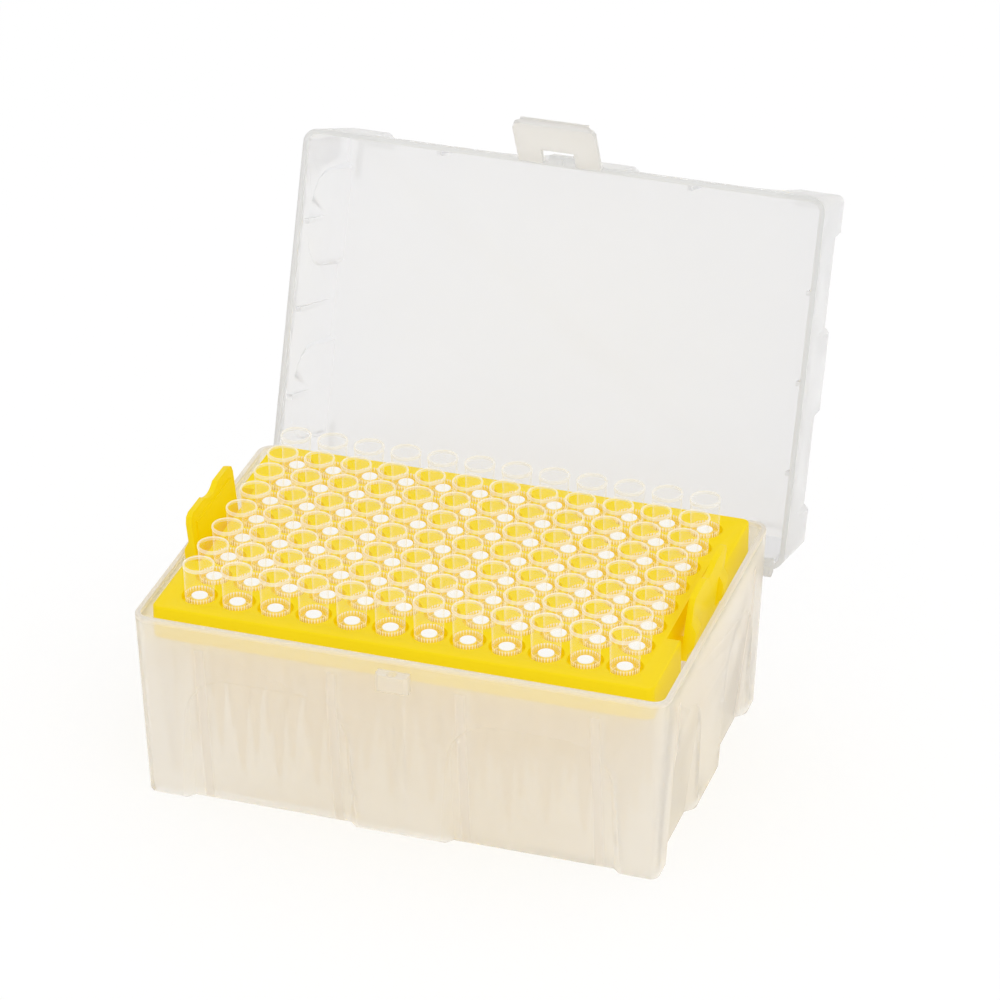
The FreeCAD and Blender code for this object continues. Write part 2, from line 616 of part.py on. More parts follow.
def tip_holes(name, diameter, foot, top):
    """One cutter in a body, repeated over the grid of tips."""
    body = new_body(name)
    sketch = new_sketch(body, "XY_Plane", name + "_circle")
    bind(sketch, AttachmentOffset__Base__z=foot)
    centre = FreeCAD.Vector(-number(FIRST_X), -number(FIRST_Y), 0)
    sketch.addGeometry(Part.Circle(centre, FreeCAD.Vector(0, 0, 1), number(diameter) / 2))
    distance(sketch, "DistanceX", "first_x", (0, 3, -1, 1), FIRST_X)
    distance(sketch, "DistanceY", "first_y", (0, 3, -1, 1), FIRST_Y)
    distance(sketch, "Diameter", "bore", (0,), diameter)
    pad = body.newObject("PartDesign::Pad", name + "_pad")
    pad.Profile = sketch
    bind(pad, Length=f"({top}) - ({foot})")
    axes = {item.Role: item for item in body.Origin.OriginFeatures}
    grid = body.newObject("PartDesign::LinearPattern", name + "_grid")
    grid.Originals = [pad]
    grid.Direction = (axes["X_Axis"], [""])
    grid.Occurrences = COLUMNS
    grid.Direction2 = (axes["Y_Axis"], [""])
    grid.Occurrences2 = ROWS
    bind(grid, Length=f"{COLUMNS - 1} * sizes.pitch", Length2=f"{ROWS - 1} * sizes.pitch")
    body.Tip = grid
    return body


holes_top = "sizes.tray_top + sizes.cutter_margin"
seat_tools = tip_holes("tip_seats", "sizes.seat_diameter", SEAT_HEIGHT, holes_top)
hole_tools = tip_holes("tip_holes", "sizes.hole_diameter", TRAY_FOOT, holes_top)
tray_block = cut("tray_block", tray_outer, joined("tray_tools", [tray_space] + notches))
tray_bored = cut("tray_bored", tray_block, joined("tip_bores", [seat_tools, hole_tools]))

# Grip tabs lean out over the finger notches, each on two legs under its notch. A tab has a raised
# face towards the tips, and two hooks on its outside that stand just inside the base's wall.
CORNER_SHARE = 0.3  # a rounded corner is two chamfers that meet this far in, as a share of its radius
tab_foot_out = "(sizes.tray_length / 2 - sizes.tab_setback)"
tab_foot = "sizes.tab_thick * tan(sizes.tab_lean)"
tab_length = f"((sizes.tab_top - {TRAY_FOOT}) / cos(sizes.tab_lean))"
tab_cut = f"{CORNER_SHARE} * sizes.tab_corner"
face_half = "(sizes.tab_width / 2 - sizes.tab_face_inset)"
hook_top = f"((sizes.base_height + sizes.hook_stand - {TRAY_FOOT}) / cos(sizes.tab_lean))"
hook_low = f"((sizes.base_height - sizes.hook_drop - {TRAY_FOOT}) / cos(sizes.tab_lean))"
hook_face = "(sizes.tab_thick + sizes.hook_reach)"
tabs = []
for wall in (1, 3):
    foot_x, foot_y = on_wall(wall, "0", tab_foot_out)
    plate = prism(
        f"tab_plate_{wall}", "XZ_Plane",
        [
            ("-sizes.tab_width / 2", tab_foot),
            ("sizes.tab_width / 2", tab_foot),
            ("sizes.tab_width / 2", f"{tab_length} - sizes.tab_corner"),
            (f"sizes.tab_width / 2 - {tab_cut}", f"{tab_length} - {tab_cut}"),
            ("sizes.tab_width / 2 - sizes.tab_corner", tab_length),
            ("-sizes.tab_width / 2 + sizes.tab_corner", tab_length),
            (f"-sizes.tab_width / 2 + {tab_cut}", f"{tab_length} - {tab_cut}"),
            ("-sizes.tab_width / 2", f"{tab_length} - sizes.tab_corner"),
        ],
        "sizes.tab_thick",
    )
    place(plate, foot_x, foot_y, TRAY_FOOT, turn=90 * wall, roll="sizes.tab_lean")
    face = prism(
        f"tab_face_{wall}", "XZ_Plane",
        [
            (f"-{face_half}", "sizes.tab_face_inset"),
            (face_half, "sizes.tab_face_inset"),
            (face_half, f"{tab_length} - sizes.tab_face_inset"),
            (f"-{face_half}", f"{tab_length} - sizes.tab_face_inset"),
        ],
        "sizes.tab_face_thick + sizes.tab_thick / 2",
    )
    face_x, face_y = on_wall(wall, "0", f"{tab_foot_out} - sizes.tab_face_thick / cos(sizes.tab_lean)")
    place(face, face_x, face_y, TRAY_FOOT, turn=90 * wall, roll="sizes.tab_lean")
    tab_pieces = [plate, face]
    for side in (-1, 1):
        label = f"{wall}_{'left' if side < 0 else 'right'}"
        hook = prism(
            f"tab_hook_{label}", "YZ_Plane",
            [
                ("-sizes.tab_thick / 2", f"{hook_low} - sizes.hook_slope"),
                ("-sizes.tab_thick", f"{hook_low} - sizes.hook_slope"),
                (f"-{hook_face}", hook_low),
                (f"-{hook_face}", hook_top),
                ("-sizes.tab_thick", f"{hook_top} + sizes.hook_slope"),
                ("-sizes.tab_thick / 2", f"{hook_top} + sizes.hook_slope"),
            ],
            "sizes.hook_width",
        )
        hook_low_side = "-sizes.tab_width / 2" if side < 0 else "sizes.tab_width / 2 - sizes.hook_width"
        hook_x, hook_y = on_wall(wall, hook_low_side, tab_foot_out)
        place(hook, hook_x, hook_y, TRAY_FOOT, turn=90 * wall, roll="sizes.tab_lean")
        tab_pieces.append(hook)
        tabs.append(wall_block(
            f"tab_leg_{label}", wall, f"{side} * (sizes.tab_width - sizes.tab_leg) / 2",
            "sizes.tab_leg", f"{tab_foot_out} + sizes.tab_thick / 2",
            "sizes.notch_depth - sizes.tab_setback + (sizes.tab_thick + sizes.tray_wall) / 2",
            TRAY_FOOT, f"{TRAY_FOOT} + sizes.tab_thick",
        ))
    dip_x, dip_y = on_wall(wall, "0", "sizes.tray_length / 2 - sizes.cutter_margin")
    dip = doc.addObject("Part::Cylinder", f"tab_dip_{wall}")
    bind(
        dip, Radius="sizes.tab_dip_radius",
        Height=f"sizes.tab_thick + 2 * sizes.cutter_margin + {tab_length} * sin(sizes.tab_lean)",
    )
    place(dip, dip_x, dip_y, "sizes.tab_top - sizes.tab_dip + sizes.tab_dip_radius",
          turn=90 * wall, roll="90")
    tabs.append(cut(f"dipped_tab_{wall}", joined(f"tab_{wall}", tab_pieces), dip))
tip_tray = joined("tip_tray", [tray_bored] + tabs)

# ---------------------------------------------------------------- tips and filters
FILTER_TOP = "(sizes.tip_top - sizes.filter_drop)"
FILTER_FOOT = f"({FILTER_TOP} - sizes.filter_height)"
TIP_PROFILE = [
    ("sizes.mouth_bore / 2", "sizes.tip_top"),
    ("sizes.rim_diameter / 2", "sizes.tip_top"),
    ("sizes.rim_diameter / 2", "sizes.tip_top - sizes.rim_height"),
    ("sizes.collar_diameter / 2", "sizes.tip_top - sizes.rim_height - sizes.rim_slope"),
    ("sizes.collar_foot / 2", SEAT_HEIGHT),
    ("sizes.body_diameter / 2", SEAT_HEIGHT),
    ("sizes.step_diameter / 2", "sizes.step_height"),
    ("sizes.cone_diameter / 2", "sizes.step_height - sizes.step_slope"),
    ("sizes.end_diameter / 2", "sizes.tip_end"),
    ("sizes.end_bore / 2", "sizes.tip_end"),
    ("sizes.cone_diameter / 2 - sizes.tip_wall", "sizes.step_height - sizes.step_slope"),
    ("sizes.step_diameter / 2 - sizes.tip_wall", "sizes.step_height + sizes.step_slope"),
    ("sizes.filter_bore / 2 - sizes.tip_wall / 2", FILTER_FOOT),
    ("sizes.filter_bore / 2", FILTER_FOOT),
    ("sizes.filter_bore / 2", f"{FILTER_TOP} + sizes.filter_lip"),
    ("sizes.mouth_foot / 2", "sizes.tip_top - sizes.mouth_depth"),
]


def column_pattern(body, feature, name):
    """Repeat a feature over one column of the grid, as separate solids."""
    along_y = next(item for item in body.Origin.OriginFeatures if item.Role == "Y_Axis")
    pattern = body.newObject("PartDesign::LinearPattern", name + "_column")
    pattern.Originals = [feature]
    pattern.Direction = (along_y, [""])
    pattern.Occurrences = ROWS
    bind(pattern, Length=f"{ROWS - 1} * sizes.pitch")
    body.Tip = pattern


def tip_column(name, column):
    body = new_body(name)
    sketch = new_sketch(body, "XZ_Plane", name + "_section")
    outline(sketch, TIP_PROFILE)
    turned = body.newObject("PartDesign::Revolution", name + "_turned")
    turned.Profile = sketch
    turned.ReferenceAxis = (sketch, ["V_Axis"])
    turned.Angle = 360
    column_pattern(body, turned, name)
    return place(body, f"{column} * sizes.pitch - {FIRST_X}", f"-{FIRST_Y}")


def filter_column(name, column):
    body = new_body(name)
    sketch = new_sketch(body, "XY_Plane", name + "_circle")
    bind(sketch, AttachmentOffset__Base__z=FILTER_FOOT)
    origin = FreeCAD.Vector(0, 0, 0)
    sketch.addGeometry(Part.Circle(origin, FreeCAD.Vector(0, 0, 1), number("sizes.filter_diameter") / 2))
    sketch.addConstraint(Sketcher.Constraint("Coincident", 0, 3, -1, 1))
    distance(sketch, "Diameter", "plug", (0,), "sizes.filter_diameter")
    pad = body.newObject("PartDesign::Pad", name + "_pad")
    pad.Profile = sketch
    bind(pad, Length="sizes.filter_height")
    column_pattern(body, pad, name)
    return place(body, f"{column} * sizes.pitch - {FIRST_X}", f"-{FIRST_Y}")


tip_columns = []
filter_columns = []
for column in range(COLUMNS):
    tip_columns.append(tip_column(f"tips_column_{column + 1:02d}", column))
    filter_columns.append(filter_column(f"filters_column_{column + 1:02d}", column))

# ---------------------------------------------------------------- lid, drawn closed
LID_OUT = (f"({LID_WIDTH} / 2)", f"({LID_LENGTH} / 2)")
lid_outer = drafted_block(
    "lid_outer", LID_LENGTH, LID_WIDTH, "sizes.lid_corner", LID_RIM, "sizes.lid_height",
    "sizes.lid_draft", upwards=True,
)
round_edges(lid_outer, LID_TOP, "sizes.lid_edge")
lid_cavity = drafted_block(
    "lid_cavity", f"{LID_LENGTH} - 2 * sizes.lid_wall", f"{LID_WIDTH} - 2 * sizes.lid_wall",
    "sizes.lid_corner - sizes.lid_wall", LID_RIM, "sizes.lid_height - sizes.lid_top",
    "sizes.lid_draft", upwards=True,
)
# Stop ribs stand over the base's short walls, one between the panels and one behind each, and
# over its front wall, one on each side of the catch block.
panel_centre = "(sizes.short_middle_pad / 4 + (sizes.base_width / 2 - sizes.short_corner_pad) / 2)"
short_ribs = (("middle", "0"), ("front", f"-{panel_centre}"), ("rear", panel_centre))
front_ribs = (("left", "-sizes.lid_front_rib"), ("right", "sizes.lid_front_rib"))
inside_lid = []
for wall, ribs in ((1, short_ribs), (3, short_ribs), (0, front_ribs)):
    for label, along in ribs:
        inside_lid.append(wall_block(
            f"lid_rib_{wall}_{label}", wall, along, "sizes.lid_rib_thick", LID_OUT[wall % 2],
            "sizes.lid_rib_reach", "sizes.base_height + sizes.lid_rib_gap", LID_TOP,
        ))
lid_skins = panel_tools(
    "lid_skins", "sizes.lid_panel_height", "sizes.lid_panel_corner", "sizes.lid_panel_depth",
    "sizes.lid_height", "sizes.lid_draft", LID_TOP, LID_OUT, "sizes.lid_wall", True,
)
lid_panels = panel_tools(
    "lid_panels", "sizes.lid_panel_height", "sizes.lid_panel_corner", "sizes.lid_panel_depth",
    "sizes.lid_height", "sizes.lid_draft", LID_TOP, LID_OUT, "0", True,
)
lid_space = cut("lid_space", lid_cavity, joined("lid_inside", inside_lid + [lid_skins]))
dimple = rod(
    "gate_dimple", "sizes.dimple_diameter", "sizes.dimple_depth + sizes.cutter_margin",
    z=f"{LID_TOP} - sizes.dimple_depth",
)
lid_shell = cut("lid_shell", lid_outer, joined("lid_tools", [lid_space, lid_panels, dimple]))

# Arms and knuckles of the hinge.
arms = []
bores = []
for side in (-1, 1):
    label = "left" if side < 0 else "right"
    arm_low = "sizes.knuckle_start" if side > 0 else "(-sizes.knuckle_start - sizes.arm_width)"
    arms.append(block(
        f"lid_arm_{label}", arm_low, f"{LID_WIDTH} / 2 - sizes.lid_wall", "sizes.hinge_height",
        "sizes.arm_width", "sizes.lid_wall", f"{LID_RIM} - sizes.hinge_height + sizes.lid_wall",
    ))
    knuckle_span = "(sizes.knuckle_end - sizes.knuckle_start)"
    knuckle_low = "sizes.knuckle_start" if side > 0 else "(-sizes.knuckle_end)"
    arms.append(rod(
        f"knuckle_{label}", "sizes.knuckle_diameter", knuckle_span, knuckle_low, HINGE_Y,
        "sizes.hinge_height", pitch="90",
    ))
    bore_start = "(sizes.knuckle_start - sizes.cutter_margin)"
    bore_length = f"(sizes.pin_end + sizes.knuckle_gap - {bore_start})"
    bore_low = bore_start if side > 0 else f"(-{bore_start} - {bore_length})"
    bores.append(rod(
        f"knuckle_bore_{label}", "sizes.pin_diameter + 2 * sizes.pin_gap", bore_length, bore_low,
        HINGE_Y, "sizes.hinge_height", pitch="90",
    ))

# Boss over the catch block, with the pin that enters the block's hole.
boss = block(
    "catch_boss", "-sizes.boss_width / 2", f"-{catch_front}", LID_RIM, "sizes.boss_width",
    f"{catch_front} - {LID_WIDTH} / 2 + sizes.lid_wall", "sizes.boss_height",
)
locator = rod(
    "locating_pin", "sizes.locator_diameter", "sizes.locator_length + sizes.lid_wall", "0", catch_hole_y,
    f"{LID_RIM} - sizes.locator_length",
)

# L-shaped stacking ridges on the corners of the top.
ridges = []
for side_x in (-1, 1):
    for side_y in (-1, 1):
        label = f"{'left' if side_x < 0 else 'right'}_{'front' if side_y < 0 else 'rear'}"
        corner_x = f"{side_x} * ({LID_LENGTH} / 2 - sizes.ridge_inset)"
        corner_y = f"{side_y} * ({LID_WIDTH} / 2 - sizes.ridge_inset)"
        long_low = corner_x if side_x < 0 else f"{corner_x} - sizes.ridge_length"
        thick_low = corner_y if side_y < 0 else f"{corner_y} - sizes.ridge_thick"
        ridges.append(block(
            f"ridge_x_{label}", long_low, thick_low, f"{LID_TOP} - sizes.lid_top / 2",
            "sizes.ridge_length", "sizes.ridge_thick", "sizes.lid_top / 2 + sizes.ridge_thick",
        ))
        thick_low = corner_x if side_x < 0 else f"{corner_x} - sizes.ridge_thick"
        long_low = corner_y if side_y < 0 else f"{corner_y} - sizes.ridge_length"
        ridges.append(block(
            f"ridge_y_{label}", thick_low, long_low, f"{LID_TOP} - sizes.lid_top / 2",
            "sizes.ridge_thick", "sizes.ridge_length", "sizes.lid_top / 2 + sizes.ridge_thick",
        ))
lid = cut(
    "lid", joined("lid_with_arms", [lid_shell, boss, locator] + arms + ridges),
    joined("knuckle_bores", bores),
)

# ---------------------------------------------------------------- latch flap, drawn latched
flap_body = new_body("flap_plate")
flap_sketch = new_sketch(flap_body, "XZ_Plane", "flap_outline")
flap_half = "(sizes.flap_width / 2)"
corner_cut = f"{CORNER_SHARE} * sizes.flap_corner"
outline(flap_sketch, [
    (f"-{flap_half}", "-sizes.film_diameter / 2"),
    (f"-{flap_half}", "-sizes.flap_length + sizes.flap_corner"),
    (f"-{flap_half} + {corner_cut}", f"-sizes.flap_length + {corner_cut}"),
    (f"-{flap_half} + sizes.flap_corner", "-sizes.flap_length"),
    (f"{flap_half} - sizes.flap_corner", "-sizes.flap_length"),
    (f"{flap_half} - {corner_cut}", f"-sizes.flap_length + {corner_cut}"),
    (flap_half, "-sizes.flap_length + sizes.flap_corner"),
    (flap_half, "-sizes.film_diameter / 2"),
    ("sizes.window_width / 2", "-sizes.film_diameter / 2"),
    ("sizes.window_width / 2", "-sizes.window_height"),
    ("-sizes.window_width / 2", "-sizes.window_height"),
    ("-sizes.window_width / 2", "-sizes.film_diameter / 2"),
])
flap_pad = flap_body.newObject("PartDesign::Pad", "flap_pad")
flap_pad.Profile = flap_sketch
bind(flap_pad, Length="sizes.flap_thick")
place(flap_body, y="sizes.flap_drop / 2 + sizes.flap_thick")
lip = block(
    "finger_lip", f"-{flap_half} + sizes.flap_corner", "sizes.flap_drop / 2 - sizes.lip_reach",
    "-sizes.flap_length", "sizes.flap_width - 2 * sizes.flap_corner",
    "sizes.lip_reach + sizes.flap_thick / 2", "sizes.lip_height",
)
films = []
for side in (-1, 1):
    film_span = f"({flap_half} - sizes.window_width / 2)"
    film_low = "sizes.window_width / 2" if side > 0 else f"-{flap_half}"
    label = "left" if side < 0 else "right"
    films.append(rod(f"film_{label}", "sizes.film_diameter", film_span, film_low, pitch="90"))
    films.append(block(
        f"film_web_{label}", film_low, "0", "-sizes.film_diameter", film_span,
        "sizes.flap_drop / 2 + sizes.film_diameter / 2", "sizes.film_diameter",
    ))
latch_flap = joined("latch_flap", [flap_body, lip] + films)

# ---------------------------------------------------------------- the lid opens, and the flap with it
lid.setExpression(
    "Placement",
    "placement(vector(0; 0; 0); rotation(vector(1; 0; 0); -sizes.lid_open);"
    f" vector(0; {HINGE_Y}; sizes.hinge_height))",
)
flap_reach = f"({HINGE_Y} - {FLAP_Y})"
flap_rise = f"({FLAP_Z} - sizes.hinge_height)"
place(
    latch_flap, "0",
    f"{HINGE_Y} - {flap_reach} * cos(sizes.lid_open) + {flap_rise} * sin(sizes.lid_open)",
    f"sizes.hinge_height + {flap_reach} * sin(sizes.lid_open) + {flap_rise} * cos(sizes.lid_open)",
    roll="-sizes.lid_open - sizes.flap_open",
)
doc.recompute()

# ---------------------------------------------------------------- check and write
pieces = [base_box, tip_tray, lid, latch_flap] + tip_columns + filter_columns
for piece in pieces:
    piece.Label = piece.Name
for item in doc.Objects:
    if "Invalid" in item.State or "Error" in item.State:
        raise RuntimeError(f"{item.Name} did not recompute: {item.State}")
for piece in pieces:
    if piece.Shape.isNull() or not piece.Shape.isValid():
        raise RuntimeError(f"{piece.Label} has no valid shape")

os.makedirs("parts", exist_ok=True)
for piece in pieces:
    piece.Shape.exportStep(f"parts/{piece.Label}.step")
    print(f"{piece.Label}: {len(piece.Shape.Solids)} solids, {piece.Shape.Volume:.1f} mm3")
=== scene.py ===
import math

import bmesh
import bpy
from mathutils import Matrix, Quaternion, Vector


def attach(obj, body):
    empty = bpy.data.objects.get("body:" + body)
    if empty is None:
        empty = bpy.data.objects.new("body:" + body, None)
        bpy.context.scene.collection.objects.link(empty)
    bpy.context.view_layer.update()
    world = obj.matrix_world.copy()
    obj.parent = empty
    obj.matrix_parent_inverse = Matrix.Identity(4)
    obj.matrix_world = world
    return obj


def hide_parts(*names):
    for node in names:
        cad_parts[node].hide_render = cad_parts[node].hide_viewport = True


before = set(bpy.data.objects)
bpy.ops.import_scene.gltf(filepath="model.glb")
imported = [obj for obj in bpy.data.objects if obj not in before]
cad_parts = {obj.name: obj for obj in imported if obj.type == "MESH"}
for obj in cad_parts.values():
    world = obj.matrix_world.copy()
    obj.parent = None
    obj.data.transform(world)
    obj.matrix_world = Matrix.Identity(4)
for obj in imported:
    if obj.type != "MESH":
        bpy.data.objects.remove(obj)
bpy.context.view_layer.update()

# ---------------------------------------------------------------- base box
# The bottom of the box: one injection moulding of natural polypropylene with 1.2 mm walls.
# Its round-topped panels step in between the foot pads; the catch block stands on the front wall.


def linear(text):
    """An sRGB hex colour as linear red, green, blue and alpha."""
    channels = [int(text[i:i + 2], 16) / 255 for i in (1, 3, 5)]
    return (*[c / 12.92 if c <= 0.04045 else ((c + 0.055) / 1.055) ** 2.4 for c in channels], 1)


def add(tree, kind, inputs=None, **settings):
    """Add a node with its settings; an input is given as a value or as the socket that feeds it."""
    node = tree.nodes.new(kind)
    for name, value in settings.items():
        setattr(node, name, value)
    for name, value in (inputs or {}).items():
        if isinstance(value, bpy.types.NodeSocket):
            tree.links.new(value, node.inputs[name])
        else:
            node.inputs[name].default_value = value
    return node


def new_material(name):
    """A material with an empty tree, and that tree."""
    material = bpy.data.materials.new(name)
    material.use_nodes = True
    material.node_tree.nodes.clear()
    return material, material.node_tree


def put(mesh, name):
    """Put a mesh in the scene as an object at the origin."""
    piece = bpy.data.objects.new(name, mesh)
    bpy.context.scene.collection.objects.link(piece)
    return piece


# Points this close, in metres, are one. Faces this flat to each other are merged, and corners
# past the last angle are rounded.
MERGE_DISTANCE = 2e-6
FLAT_ANGLE, SHARP_ANGLE = math.radians(0.5), math.radians(32)


def moulding(name, node, edge, material):
    """A CAD node's mesh with its triangles merged and its sharp edges rounded to a radius."""
    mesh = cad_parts[node].data.copy()
    mesh.name = name
    form = bmesh.new()
    form.from_mesh(mesh)
    bmesh.ops.remove_doubles(form, verts=form.verts, dist=MERGE_DISTANCE)
    bmesh.ops.dissolve_limit(form, angle_limit=FLAT_ANGLE, verts=form.verts, edges=form.edges)
    form.to_mesh(mesh)
    form.free()
    mesh.materials.clear()
    mesh.materials.append(material)
    mesh.shade_smooth()
    piece = put(mesh, name)
    bevel = piece.modifiers.new("moulded edges", "BEVEL")
    bevel.width = edge
    bevel.segments = 2
    bevel.angle_limit = SHARP_ANGLE
    bevel.harden_normals = True
    bevel.use_clamp_overlap = True
    return piece


# The clear share that is left where a moulding is thick.
THICK_CLEAR = 0.22
# Flow marks from the mould's gate cloud a wall about every 20 mm; its surface ripples every 1 mm.
FLOW_SCALE, RIPPLE_SCALE = 50.0, 900.0


def milky(name, clear, milk, clear_share, blur, passing, shade, thick=None, dense=None):
    """Moulded polypropylene: rough glass for what shows through, cloud for the light it scatters.

    The window has the clear colour, its share of the wall and its blur. The cloud runs between the
    two milk colours and lets the passing share through. Daylight and lamps come in dimmed to shade.
    Where thick, a function that gives a socket from 0 to 1, says so, the cloud hides the most and
    has the dense colour.
    """
    material, tree = new_material(name)
    place = add(tree, "ShaderNodeTexCoord")
    flow = add(tree, "ShaderNodeTexNoise", {
        "Vector": place.outputs["Object"], "Scale": FLOW_SCALE, "Detail": 2.0,
    })
    tint = add(tree, "ShaderNodeMix", {
        "Factor": flow.outputs["Fac"], 6: linear(milk[0]), 7: linear(milk[1]),
    }, data_type="RGBA")
    if thick:
        solid = thick(tree, place)
        tint = add(tree, "ShaderNodeMix", {
            "Factor": solid, 6: tint.outputs[2], 7: linear(dense),
        }, data_type="RGBA")
        thinned = add(tree, "ShaderNodeMapRange", {0: solid, 3: clear_share, 4: THICK_CLEAR})
        clear_share = thinned.outputs[0]
    ripple = add(tree, "ShaderNodeTexNoise", {
        "Vector": place.outputs["Object"], "Scale": RIPPLE_SCALE, "Detail": 1.0,
    })
    relief = add(tree, "ShaderNodeBump", {
        "Height": ripple.outputs["Fac"], "Strength": 0.06, "Distance": 0.0001,
    })
    window = add(tree, "ShaderNodeBsdfPrincipled", {
        "Base Color": linear(clear), "Roughness": blur, "IOR": 1.2, "Transmission Weight": 1.0,
        "Normal": relief.outputs["Normal"],
    })
    skin = add(tree, "ShaderNodeBsdfPrincipled", {
        "Base Color": tint.outputs[2], "Roughness": 0.38, "IOR": 1.49,
        "Normal": relief.outputs["Normal"],
    })
    cloud = add(tree, "ShaderNodeBsdfTranslucent", {"Color": tint.outputs[2]})
    milked = add(tree, "ShaderNodeMixShader", {0: passing, 1: skin.outputs[0], 2: cloud.outputs[0]})
    wall = add(tree, "ShaderNodeMixShader", {
        0: clear_share, 1: milked.outputs[0], 2: window.outputs[0],
    })
    path = add(tree, "ShaderNodeLightPath")
    veil = add(tree, "ShaderNodeBsdfTransparent", {"Color": linear(shade)})
    surface = wall.outputs[0]
    for kind in ("Is Diffuse Ray", "Is Shadow Ray"):
        lit = add(tree, "ShaderNodeMixShader", {
            0: path.outputs[kind], 1: surface, 2: veil.outputs[0],
        })
        surface = lit.outputs[0]
    add(tree, "ShaderNodeOutputMaterial", {"Surface": surface})
    return material


# Support ribs behind the walls, in metres from the box's middle: two pairs a long wall, the second
# one rib gap past the first, and one pair a short wall. They lie within the walls' depth.
FIRST_RIB, RIB_GAP, END_RIB = 0.015, 0.031, 0.031
LONG_WALL, SHORT_WALL = 0.0355, 0.0545
# A rib shows fully this near its middle, and not at all this far from it. Its top ends in a fade.
RIB_NEAR, RIB_FAR = 0.0007, 0.0013
RIB_TOP, RIB_TOP_FADED = 0.0408, 0.0412
RIM_FADED, RIM_FULL = 0.0458, 0.0464
CATCH_BACK = -0.0424


def base_thick(tree, place):
    """1 at the base's rim and catch block and where a support rib backs a wall, 0 elsewhere."""
    spot = add(tree, "ShaderNodeSeparateXYZ", {"Vector": place.outputs["Object"]}).outputs
    across, along = [
        add(tree, "ShaderNodeMath", {0: spot[axis]}, operation="ABSOLUTE").outputs[0]
        for axis in "XY"
    ]
    past = add(tree, "ShaderNodeMath", {0: across, 1: FIRST_RIB}, operation="SUBTRACT")
    long_gap = add(tree, "ShaderNodeMath", {
        0: past.outputs[0], 1: RIB_GAP / 2,
    }, operation="PINGPONG")
    past = add(tree, "ShaderNodeMath", {0: along, 1: END_RIB}, operation="SUBTRACT")
    short_gap = add(tree, "ShaderNodeMath", {0: past.outputs[0]}, operation="ABSOLUTE")
    ribs = []
    for gap, depth, start in ((long_gap, along, LONG_WALL), (short_gap, across, SHORT_WALL)):
        bar = add(tree, "ShaderNodeMapRange", {0: gap.outputs[0], 1: RIB_FAR, 2: RIB_NEAR})
        near = add(tree, "ShaderNodeMath", {0: depth, 1: start}, operation="GREATER_THAN")
        ribs.append(add(tree, "ShaderNodeMath", {
            0: bar.outputs[0], 1: near.outputs[0],
        }, operation="MULTIPLY").outputs[0])
    either = add(tree, "ShaderNodeMath", {0: ribs[0], 1: ribs[1]}, operation="MAXIMUM")
    top = add(tree, "ShaderNodeMapRange", {0: spot["Z"], 1: RIB_TOP_FADED, 2: RIB_TOP})
    backed = add(tree, "ShaderNodeMath", {
        0: either.outputs[0], 1: top.outputs[0],
    }, operation="MULTIPLY")
    rim = add(tree, "ShaderNodeMapRange", {0: spot["Z"], 1: RIM_FADED, 2: RIM_FULL})
    catch = add(tree, "ShaderNodeMath", {0: spot["Y"], 1: CATCH_BACK}, operation="LESS_THAN")
    solid = add(tree, "ShaderNodeMath", {
        0: rim.outputs[0], 1: catch.outputs[0],
    }, operation="MAXIMUM")
    return add(tree, "ShaderNodeMath", {
        0: backed.outputs[0], 1: solid.outputs[0],
    }, operation="MAXIMUM").outputs[0]


# Cream and cloudy, with the tips as soft streaks behind the wall.
base_plastic = milky(
    "natural_polypropylene", clear="#FDFAF5", milk=("#F8F5F1", "#FBF9F6"), clear_share=0.6,
    blur=0.09, passing=0.35, shade="#FCFBF9", thick=base_thick, dense="#F4EFE8",
)
base = moulding("base_moulding", "base_box", edge=0.0006, material=base_plastic)
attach(base, "base")
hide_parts("base_box")

# ---------------------------------------------------------------- tip tray
# The drop-in rack, which rests on the base's ribs: one moulding of yellow pigmented polypropylene.
# Light soaks a little way in, so that its edges and the thin grip tabs glow.
tray_plastic, tree = new_material("yellow_polypropylene")
place = add(tree, "ShaderNodeTexCoord")
flow = add(tree, "ShaderNodeTexNoise", {
    "Vector": place.outputs["Object"], "Scale": 60.0, "Detail": 2.0,
})
tint = add(tree, "ShaderNodeMix", {
    "Factor": flow.outputs["Fac"], 6: linear("#F5DF00"), 7: linear("#F8E302"),
}, data_type="RGBA")
ripple = add(tree, "ShaderNodeTexNoise", {
    "Vector": place.outputs["Object"], "Scale": 1200.0, "Detail": 1.0,
})
relief = add(tree, "ShaderNodeBump", {
    "Height": ripple.outputs["Fac"], "Strength": 0.08, "Distance": 0.0001,
})
skin = add(tree, "ShaderNodeBsdfPrincipled", {
    "Base Color": tint.outputs[2], "Roughness": 0.42, "IOR": 1.3,
    "Normal": relief.outputs["Normal"],
})
glow = add(tree, "ShaderNodeBsdfTranslucent", {"Color": tint.outputs[2]})
mixed = add(tree, "ShaderNodeMixShader", {0: 0.3, 1: skin.outputs[0], 2: glow.outputs[0]})
# Painted glow: an emission that only diffuse rays see lights the holes with yellow and lifts their
# shade; the tray is no lamp.
path = add(tree, "ShaderNodeLightPath")
painted_yellow_glow = add(tree, "ShaderNodeEmission", {"Color": linear("#FFDC10"), "Strength": 1.0})
with_painted_glow = add(tree, "ShaderNodeMixShader", {0: 0.4, 1: mixed.outputs[0], 2: painted_yellow_glow.outputs[0]})
surface = add(tree, "ShaderNodeMixShader", {
    0: path.outputs["Is Diffuse Ray"], 1: mixed.outputs[0], 2: with_painted_glow.outputs[0],
})
add(tree, "ShaderNodeOutputMaterial", {"Surface": surface.outputs[0]})
tray = moulding("tray_moulding", "tip_tray", edge=0.0002, material=tray_plastic)
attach(tray, "base")
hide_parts("tip_tray")

# ---------------------------------------------------------------- tips
# 96 thin-walled tips of clear polypropylene on a 9 mm grid. Each has a rolled rim, a smooth
# collar with a ring of fine ribs at its foot, and a slim body that steps down to its point.
COLUMNS, ROWS, PITCH = 12, 8, 0.009
